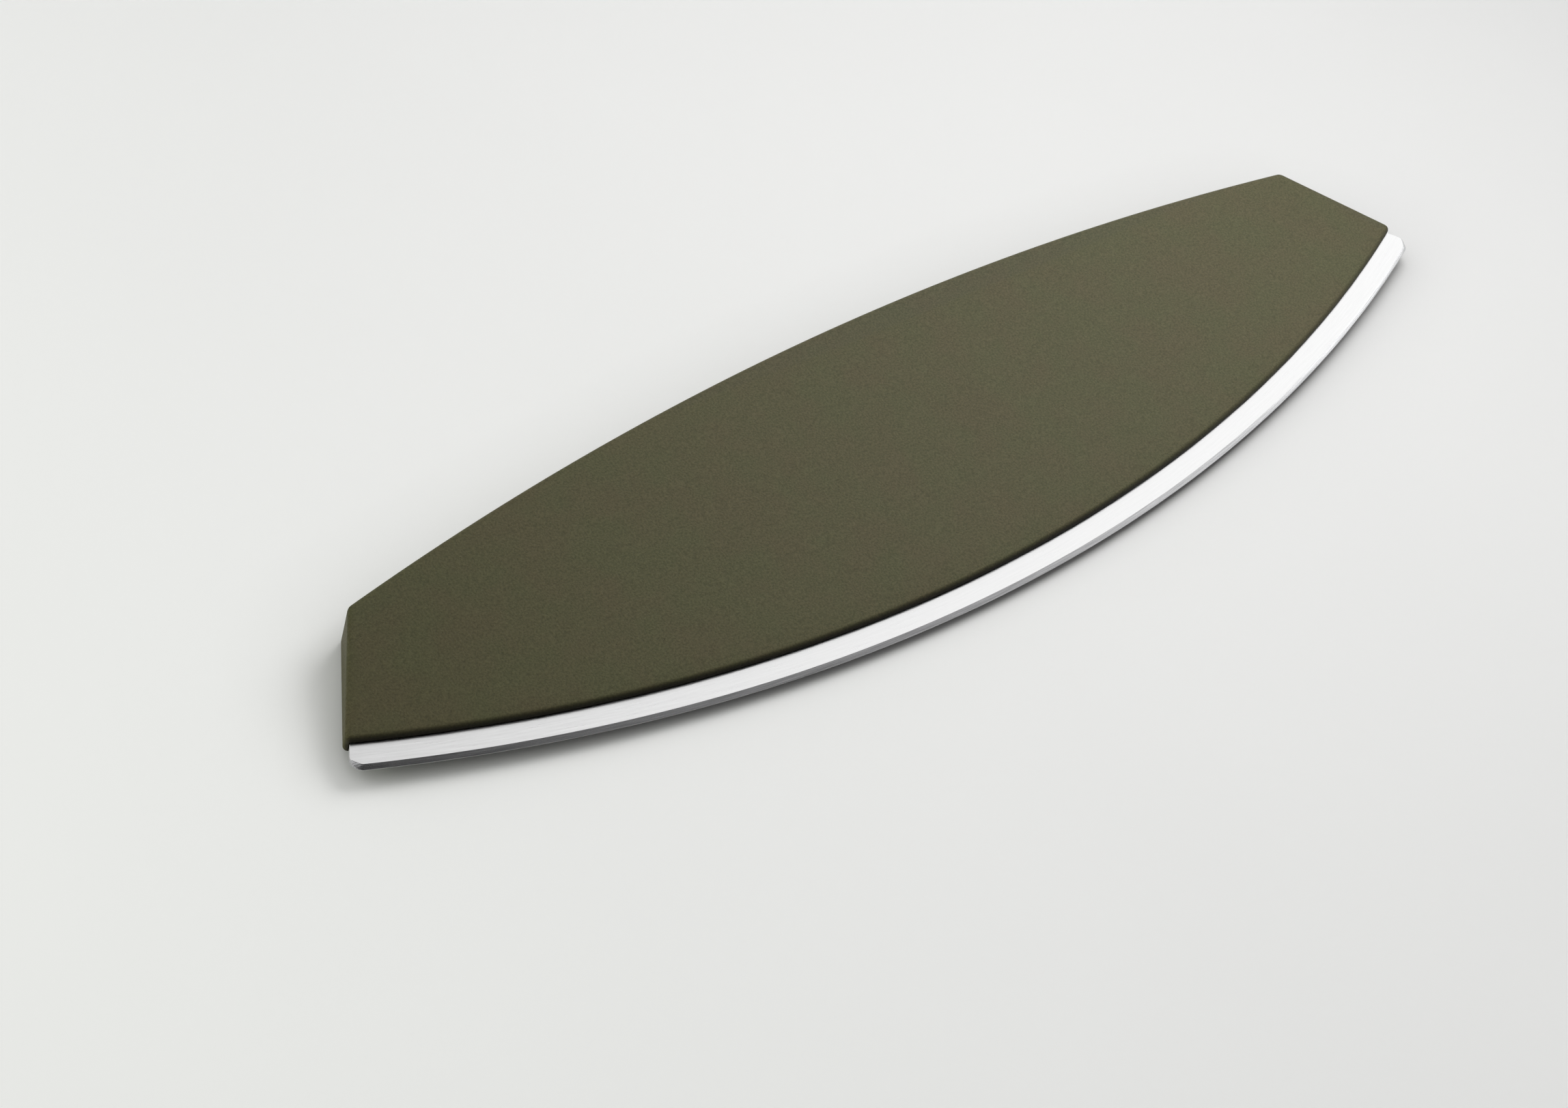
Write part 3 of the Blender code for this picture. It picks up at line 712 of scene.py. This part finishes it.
@dataclass
class HandleShell:
    """One moulded half of the handle: a ruled face between the arcs of lip and spine, with walls round it."""

    sizes: KnifeSizes
    side: Side
    lip_thickness: float = 5.6 * MM
    spine_thickness: float = 14 * MM
    lip_corner_round: float = 1.45 * MM
    spine_corner_round: float = 2.4 * MM
    lip_round: float = 1.3 * MM
    edge_round: float = 1.0 * MM
    seam: float = 0.04 * MM
    end_play: float = 0.12 * MM
    shoulder_play: float = 0.33 * MM
    face_rows: int = 10
    round_steps: int = 6
    smooth_deg: float = 35.0
    piece: bpy.types.Object = field(init=False)

    def build(self) -> None:
        """Models the half as a front one, and mirrors it if it is the rear one."""
        self.piece = self.ruled_face()
        self.drop_walls()
        self.round_corners()
        self.cut_slot()
        self.round_rim()
        if self.side is Side.REAR:
            self.mirror()
        pick_out(self.piece)
        bpy.ops.object.shade_smooth_by_angle(angle=math.radians(self.smooth_deg))

    def ruled_face(self) -> bpy.types.Object:
        """The face, as straight lines between the arc of the lip and the arc of the spine."""
        sizes = self.sizes
        lip_start = Vector((-sizes.lip_corner.x, sizes.lip_corner.y, self.lip_thickness / 2))
        lip_turn = 2 * math.asin(sizes.length / 2 / sizes.lip_radius)
        spine_start = Vector((-sizes.spine_corner.x, sizes.spine_corner.y, self.spine_thickness / 2))
        spine_turn = -2 * math.asin(sizes.spine_length / 2 / sizes.spine_radius)
        name = f"handle_{self.side.name.lower()}"
        lip = arc_line(name, lip_start, sizes.lip_centre, lip_turn, sizes.length_steps)
        spine = arc_line("spine_line", spine_start, sizes.spine_centre, spine_turn, sizes.length_steps)
        face = join([lip, spine])
        with editing(face):
            bpy.ops.mesh.select_all(action="SELECT")
            bpy.ops.mesh.bridge_edge_loops(number_cuts=self.face_rows - 1, interpolation="LINEAR")
        return face

    def drop_walls(self) -> None:
        """Pulls the face down and flattens what was pulled onto the seam, which makes the walls."""
        with editing(self.piece, "FACE"):
            bpy.ops.mesh.select_all(action="SELECT")
            bpy.ops.mesh.extrude_region_move(TRANSFORM_OT_translate={"value": (0.0, 0.0, -MM)})
            bpy.ops.transform.resize(value=(1.0, 1.0, 0.0), center_override=(0.0, 0.0, self.seam / 2))
        face_outwards(self.piece)

    def round_corners(self) -> None:
        """Rounds the four corners of the handle, seen from the front."""
        sizes = self.sizes
        end_way = (sizes.spine_corner - sizes.lip_corner).normalized()
        lip_way = Vector((sizes.lip_centre.y - sizes.lip_corner.y, sizes.lip_corner.x, 0.0)).normalized()
        from_spine = sizes.spine_corner - sizes.spine_centre
        spine_way = Vector((from_spine.y, -from_spine.x, 0.0)).normalized()
        at_lip = (sizes.lip_corner, -lip_way, end_way, self.lip_corner_round)
        at_spine = (sizes.spine_corner, -spine_way, -end_way, self.spine_corner_round)
        for corner, way, other, radius in (at_lip, at_spine):
            offset = radius / math.tan(way.angle(other) / 2)
            with editing(self.piece):
                select_edges(self.piece, lambda edge, place=corner: stands_at(edge, place))
                bpy.ops.mesh.bevel(
                    offset=offset, segments=self.round_steps, affect="EDGES", clamp_overlap=False
                )

    def rim_share(self, edge: bmesh.types.BMEdge) -> float:
        """How wide the rim is rounded at an edge, as a share of the lip's round."""
        sizes = self.sizes
        if not is_rim(edge):
            return 0.0
        if on_arc(edge, sizes.lip_centre, sizes.lip_radius):
            return 1.0
        wall = min(edge.link_faces, key=lambda face: abs(face.normal.z)).normal
        lip_normal = (sizes.lip_corner - sizes.lip_centre).normalized()
        end_normal = sizes.end_plane(0.0, End.RIGHT)[1]
        turned = Vector((abs(wall.x), wall.y, 0.0)).angle(lip_normal) / end_normal.angle(lip_normal)
        narrowest = self.edge_round / self.lip_round
        return 1.0 + (narrowest - 1.0) * min(turned, 1.0)

    def round_rim(self) -> None:
        """Rounds the rim of the face, wider along the lip than elsewhere."""
        with editing(self.piece):
            mesh = bmesh.from_edit_mesh(self.piece.data)
            shares = mesh.edges.layers.float.new("bevel_weight_edge")
            for edge in mesh.edges:
                edge[shares] = self.rim_share(edge)
            bmesh.update_edit_mesh(self.piece.data)
        bpy.ops.object.modifier_add(type="BEVEL")
        modifier = self.piece.modifiers[-1]
        modifier.limit_method = "WEIGHT"
        modifier.width = self.lip_round
        modifier.segments = self.round_steps
        modifier.use_clamp_overlap = False
        bpy.ops.object.modifier_apply(modifier=modifier.name)

    def cut_slot(self) -> None:
        """Cuts the slot for the tang, a shallow one for the blade's full length, and the pins' bores.

        The two slots differ a little in width, because walls in one plane would leave the cut open.
        """
        sizes = self.sizes
        mouth = sizes.lip_radius + sizes.blade_showing
        tang = (sizes.tang_depth, sizes.fit, sizes.tang_end_setback - sizes.fit)
        shoulder = (sizes.shoulder_depth, self.shoulder_play, sizes.blade_end_setback - self.end_play)
        for depth, play, setback in (tang, shoulder):
            width = sizes.blade_thickness + 2 * play
            slot = radial_plate("tang_slot", sizes, sizes.lip_radius - depth - play, mouth, width)
            swing_round(slot, sizes)
            with editing(slot, "FACE"):
                for end in End:
                    cut_away(*sizes.end_plane(setback, end))
            cut_out(self.piece, slot)
        bores = upright_cylinders(
            "pin_bores",
            sizes.pin_centres(),
            sizes.pin_diameter / 2 + sizes.pin_fit,
            sizes.pin_length + 2 * sizes.fit,
        )
        cut_out(self.piece, bores)

    def mirror(self) -> None:
        """Turns the front half into the rear one."""
        with editing(self.piece, "FACE"):
            bpy.ops.mesh.select_all(action="SELECT")
            bpy.ops.transform.resize(value=(1.0, 1.0, -1.0), center_override=(0.0, 0.0, 0.0))
        face_outwards(self.piece)

    def dress(self, plastic: bpy.types.Material, pose: RestPose) -> None:
        """Lays the half down, gives it its plastic and lets it stand for its node."""
        self.piece.data.materials.clear()
        self.piece.data.materials.append(plastic)
        pose.lay(self.piece)
        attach(self.piece, "root")
        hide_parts(f"{self.side.name.lower()}_shell")


def stands_at(edge: bmesh.types.BMEdge, place: Vector) -> bool:
    """Whether an edge is upright and stands at a corner of the handle, on the left or the right."""
    return all(
        abs(abs(vert.co.x) - place.x) < CORNER_MATCH and abs(vert.co.y - place.y) < CORNER_MATCH
        for vert in edge.verts
    )


def is_rim(edge: bmesh.types.BMEdge) -> bool:
    """Whether an edge lies between the face of the handle and a wall."""
    tilts = sorted(face.normal.z for face in edge.link_faces)
    return len(tilts) == 2 and abs(tilts[0]) < WALL_TILT and tilts[1] > FACE_TILT


def on_arc(edge: bmesh.types.BMEdge, centre: Vector, radius: float) -> bool:
    """Whether both ends of an edge lie on an upright round wall."""
    return all(abs((vert.co.xy - centre.xy).length - radius) < ARC_MATCH for vert in edge.verts)


@dataclass
class Blade:
    """The blade: a curved bar with a ground bevel, a second bevel at the edge, and a shorter tang.

    Each lower corner is rounded in corner_steps planes, and ground from the plane first_ground on.
    """

    sizes: KnifeSizes
    bevel_width: float = 1.1 * MM
    edge_bevel_width: float = 0.35 * MM
    edge_bevel_thickness: float = 0.9 * MM
    edge_thickness: float = 0.1 * MM
    corner_round: float = 3.2 * MM
    burr_break: float = 0.12 * MM
    burr_steps: int = 2
    corner_steps: int = 7
    first_ground: int = 4
    notch_spare: float = MM
    smooth_deg: float = 20.0
    piece: bpy.types.Object = field(init=False)

    @property
    def edge_radius(self) -> float:
        """Distance of the cutting edge from the lip's centre."""
        return self.sizes.lip_radius + self.sizes.blade_showing

    def build(self) -> None:
        """Models the blade."""
        self.piece = self.ground_section()
        swing_round(self.piece, self.sizes)
        self.cut_ends()
        self.notch_tang()
        cut_out(self.piece, self.pin_holes())
        self.unroll()
        pick_out(self.piece)
        bpy.ops.object.shade_smooth_by_angle(angle=math.radians(self.smooth_deg))

    def ground_section(self) -> bpy.types.Object:
        """The blade's cross-section, drawn in towards the cutting edge in two steps."""
        sizes = self.sizes
        flat_end = self.edge_radius - self.bevel_width
        tang_top = sizes.lip_radius - sizes.tang_depth
        section = radial_plate("knife_blade", sizes, tang_top, flat_end, sizes.blade_thickness)
        thicknesses = (sizes.blade_thickness, self.edge_bevel_thickness, self.edge_thickness)
        widths = (self.bevel_width - self.edge_bevel_width, self.edge_bevel_width)
        with editing(section):
            below = -sizes.blade_showing / 2
            select_edges(section, lambda edge: all(vert.co.y < below for vert in edge.verts))
            for width, thick, thin in zip(widths, thicknesses, thicknesses[1:]):
                bpy.ops.mesh.extrude_region_move(TRANSFORM_OT_translate={"value": (0.0, -width, 0.0)})
                bpy.ops.transform.resize(value=(1.0, 1.0, thin / thick))
        return section

    def cut_ends(self) -> None:
        """Cuts both ends in line with the handle's, rounds and grinds the lower corners, breaks the burr."""
        for end in End:
            with editing(self.piece, "FACE"):
                cut_away(*self.sizes.end_plane(self.sizes.blade_end_setback, end))
                corner = self.corner_planes(end)
                for point, normal in corner:
                    cut_away(point, normal)
                for point, normal in corner[self.first_ground :]:
                    for plane in self.grind_planes(point, normal):
                        cut_away(*plane)
        face_outwards(self.piece)
        with editing(self.piece):
            select_edges(self.piece, self.is_end_rim)
            bpy.ops.mesh.bevel(
                offset=self.burr_break, segments=self.burr_steps, affect="EDGES", clamp_overlap=False
            )
        face_outwards(self.piece)

    def corner_planes(self, end: End) -> list[tuple[Vector, Vector]]:
        """Planes that touch the round of one lower corner, from the end to the cutting edge."""
        point, outwards = self.sizes.end_plane(self.sizes.blade_end_setback, end)
        along = Vector((-outwards.y, outwards.x, 0.0))
        to_point = point - self.sizes.lip_centre
        middle = -to_point.dot(along)
        half = math.sqrt(middle**2 - to_point.length_squared + self.edge_radius**2)
        crossings = (point + along * (middle - half), point + along * (middle + half))
        corner = min(crossings, key=lambda crossing: crossing.y)
        radial = (corner - self.sizes.lip_centre).normalized()
        inwards = -(outwards + radial).normalized()
        half_angle = math.pi / 2 - outwards.angle(radial) / 2
        centre = corner + inwards * (self.corner_round / math.sin(half_angle))
        planes = []
        for step in range(1, self.corner_steps + 1):
            normal = outwards.lerp(radial, step / (self.corner_steps + 1)).normalized()
            planes.append((centre + normal * self.corner_round, normal))
        return planes

    def grind_planes(self, point: Vector, normal: Vector) -> list[tuple[Vector, Vector]]:
        """Planes of both bevels, on both sides of the blade, along a border that touches an upright plane.

        Args:
            point: A point of the upright plane.
            normal: The upright plane's normal, away from the blade.

        Returns:
            For each bevel a point of its plane and the plane's normal.
        """
        profile = (
            (self.bevel_width, self.sizes.blade_thickness / 2),
            (self.edge_bevel_width, self.edge_bevel_thickness / 2),
            (0.0, self.edge_thickness / 2),
        )
        planes = []
        for (inner, height), (outer, lower) in zip(profile, profile[1:]):
            for side in Side:
                place = point - normal * outer + Vector((0.0, 0.0, lower * side.value))
                slope = normal * (height - lower) + Vector((0.0, 0.0, (inner - outer) * side.value))
                planes.append((place, slope.normalized()))
        return planes

    def is_end_rim(self, edge: bmesh.types.BMEdge) -> bool:
        """Whether an edge lies between a flat side of the blade and one of its ends or lower corners."""
        tilts = sorted(abs(face.normal.z) for face in edge.link_faces)
        if len(tilts) != 2 or tilts[0] > END_TILT or tilts[1] < FLAT_TILT:
            return False
        return min(abs(vert.co.x) for vert in edge.verts) > self.sizes.spine_length / 2

    def notch_tang(self) -> None:
        """Takes the ends of the tang back, inside the handle."""
        sizes = self.sizes
        stubs = []
        for end in End:
            inner = sizes.lip_radius - sizes.tang_depth - self.notch_spare
            outer = sizes.lip_radius - sizes.shoulder_depth
            stub = radial_plate("tang_notch", sizes, inner, outer, 2 * sizes.blade_thickness)
            swing_round(stub, sizes)
            with editing(stub, "FACE"):
                point, outwards = sizes.end_plane(sizes.tang_end_setback, end)
                cut_away(point, outwards, inner=True)
            stubs.append(stub)
        cut_out(self.piece, join(stubs))

    def pin_holes(self) -> bpy.types.Object:
        """The holes for the pins, as a cutter."""
        sizes = self.sizes
        radius = sizes.pin_diameter / 2 + sizes.pin_fit
        return upright_cylinders("tang_holes", sizes.pin_centres(), radius, 2 * sizes.blade_thickness)

    def unroll(self) -> None:
        """Gives the mesh a map of arc length and distance from the lip's centre."""
        mesh = self.piece.data
        while mesh.uv_layers:
            mesh.uv_layers.remove(mesh.uv_layers[0])
        layer = mesh.uv_layers.new(name="unrolled")
        for loop in mesh.loops:
            place = mesh.vertices[loop.vertex_index].co - self.sizes.lip_centre
            along = math.atan2(place.x, -place.y) * self.sizes.lip_radius
            layer.data[loop.index].uv = (along, place.xy.length)

    def dress(self, flat: bpy.types.Material, ground: bpy.types.Material, pose: RestPose) -> None:
        """Gives the flats and the ground bevels their steel, and lays the blade down."""
        mesh = self.piece.data
        mesh.materials.clear()
        mesh.materials.append(flat)
        mesh.materials.append(ground)
        for face in mesh.polygons:
            face.material_index = int(abs(face.normal.z) < GROUND_TILT)
        pose.lay(self.piece)
        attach(self.piece, "root")
        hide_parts("blade")


@dataclass
class TangPins:
    """The pins through the tang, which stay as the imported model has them."""

    sizes: KnifeSizes

    def dress(self, nodes: dict, steel: bpy.types.Material) -> int:
        """Gives each pin its steel.

        Args:
            nodes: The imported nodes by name.
            steel: The pins' material.

        Returns:
            How many pins were dressed.
        """
        names = [f"tang_pin_{number}" for number in range(1, self.sizes.pin_count + 1)]
        for name in names:
            nodes[name].data.materials[0] = steel
        return len(names)


@dataclass(frozen=True)
class SoftPanel:
    """A soft lamp that faces the knife."""

    name: str
    place: Point
    width: float
    height: float
    power: float
    colour: Colour = (1.0, 1.0, 1.0)
    lights_matt: bool = True
    lights_gloss: bool = True

    def hang(self) -> None:
        """Hangs the lamp with its face to the knife."""
        lamp = bpy.data.lights.new(self.name, "AREA")
        lamp.shape = "RECTANGLE"
        lamp.size = self.width
        lamp.size_y = self.height
        lamp.energy = self.power
        lamp.color = self.colour
        holder = bpy.data.objects.new(self.name, lamp)
        bpy.context.scene.collection.objects.link(holder)
        holder.location = self.place
        holder.rotation_euler = Vector(self.place).to_track_quat("Z", "Y").to_euler()
        holder.visible_camera = False
        holder.visible_diffuse = self.lights_matt
        holder.visible_glossy = self.lights_gloss


@dataclass(frozen=True)
class DarkCard:
    """A card over the camera's side, dark at its left, which the ground bevel mirrors. Only gloss sees it."""

    place: Point = (-0.1, -0.7, 0.49)
    tilt_deg: float = 62.0
    width: float = 2.4
    height: float = 1.05
    colour: Colour = (0.12, 0.12, 0.12)
    near_slope: tuple[Range, Range] = ((-0.25, 0.45), (0.06, 0.42))
    far_slope: tuple[Range, Range] = ((0.45, 1.1), (0.0, 0.61))

    def make(self) -> bpy.types.Material:
        """Makes the material, whose glow grows along the card in two slopes."""
        recipe = Recipe(bpy.data.materials.new("dark_card"))
        along = recipe.along(recipe.own_place())
        near, far = recipe.spread(along, *self.near_slope), recipe.spread(along, *self.far_slope)
        glow = recipe.math("ADD", near, far)
        return recipe.finish(
            {
                "Base Color": linear(self.colour),
                "Emission Color": WHITE,
                "Emission Strength": recipe.math("MULTIPLY", glow, recipe.seen(("Is Glossy Ray",))),
                "Roughness": 1.0,
                "Specular IOR Level": 0.0,
            }
        )

    def hang(self) -> None:
        """Hangs the card, so that it lights nothing matt and throws no shadow."""
        bpy.ops.object.select_all(action="DESELECT")
        turn = (math.radians(self.tilt_deg), 0.0, 0.0)
        bpy.ops.mesh.primitive_plane_add(size=1, location=self.place, rotation=turn)
        card = bpy.context.object
        card.name = "dark_card"
        card.scale = (self.width, self.height, 1.0)
        bpy.ops.object.transform_apply(location=True, rotation=True, scale=True)
        card.data.materials.append(self.make())
        card.visible_camera = False
        card.visible_diffuse = False
        card.visible_shadow = False


@dataclass
class Studio:
    """The pale floor, the soft light, the dark card and the camera."""

    floor_size: float = 24.0
    camera_place: Point = (-0.5015, -0.36309883, 0.60665786)
    camera_turn_deg: Point = (42.44290599, -10.79453454, -39.83223578)
    lens_mm: float = 75.375
    sensor_mm: float = 36.0
    clip_start: float = 0.01
    air: float = 0.80
    air_light: float = 0.27
    card: DarkCard = DarkCard()
    panels: tuple[SoftPanel, ...] = (
        SoftPanel("key_panel", (0.22, 0.07, 0.31), 0.3, 0.3, 1.36, lights_gloss=False),
        SoftPanel("back_panel", (-0.75, 0.75, 0.65), 0.8, 0.8, 3.0, lights_gloss=False),
        SoftPanel("gloss_panel", (0.92, 0.42, 0.74), 1.2, 1.1, 4.0, lights_matt=False),
        SoftPanel("low_gloss_panel", (1.05, -0.30, 0.28), 0.45, 0.35, 0.5, lights_matt=False),
        SoftPanel("left_panel", (-1.0, 0.28, 0.25), 0.6, 0.4, 3.0, (0.92, 1.0, 0.82), lights_gloss=False),
    )

    def lay_floor(self, material: bpy.types.Material) -> None:
        """Lays the floor that the knife lies on."""
        bpy.ops.object.select_all(action="DESELECT")
        bpy.ops.mesh.primitive_plane_add(size=self.floor_size, location=(0.0, 0.0, 0.0))
        floor = bpy.context.object
        floor.name = "floor"
        floor.data.materials.append(material)

    def light(self) -> None:
        """Lights the air, and hangs the card and the lamps."""
        bpy.context.scene.world = bpy.data.worlds.new("soft_air")
        recipe = Recipe(bpy.context.scene.world, "Background")
        strength = recipe.spread(recipe.seen(DIRECT_RAYS), (0.0, 1.0), (self.air_light, self.air))
        recipe.finish({"Color": WHITE, "Strength": strength})
        self.card.hang()
        for panel in self.panels:
            panel.hang()

    def set_camera(self) -> None:
        """Puts the camera at the photograph's viewing angle."""
        camera = bpy.data.objects.new("camera", bpy.data.cameras.new("camera"))
        bpy.context.scene.collection.objects.link(camera)
        camera.location = self.camera_place
        camera.rotation_euler = [math.radians(turn) for turn in self.camera_turn_deg]
        camera.data.lens = self.lens_mm
        camera.data.sensor_width = self.sensor_mm
        camera.data.clip_start = self.clip_start
        bpy.context.scene.camera = camera


def main() -> None:
    """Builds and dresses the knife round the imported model, and sets up the studio."""
    logging.basicConfig(level=logging.INFO, format="%(message)s")
    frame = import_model()
    sizes = KnifeSizes()
    pose = RestPose.from_record(frame["record"], sizes)
    studio = Studio()
    studio.set_camera()

    plastic = OlivePlastic().make(sizes, pose)
    for side in Side:
        shell = HandleShell(sizes, side)
        shell.build()
        shell.dress(plastic, pose)
        LOG.info("%s: %d faces", shell.piece.name, len(shell.piece.data.polygons))

    blade = Blade(sizes)
    blade.build()
    flat = BrushedSteel("brushed_steel")
    ground = BrushedSteel(
        "ground_steel",
        colour=(0.84, 0.84, 0.845),
        roughness=0.22,
        anisotropy=0.3,
        contrast=0.32,
        line_scale=(80.0, 3600.0, 1.0),
    )
    blade.dress(flat.make(), ground.make(), pose)
    LOG.info("%s: %d faces", blade.piece.name, len(blade.piece.data.polygons))

    count = TangPins(sizes).dress(frame["nodes"], PinSteel().make())
    LOG.info("tang pins: %d", count)

    studio.lay_floor(PaleFloor().make())
    studio.light()
    bpy.context.scene.view_settings.view_transform = "Standard"


if __name__ == "__main__":
    main()
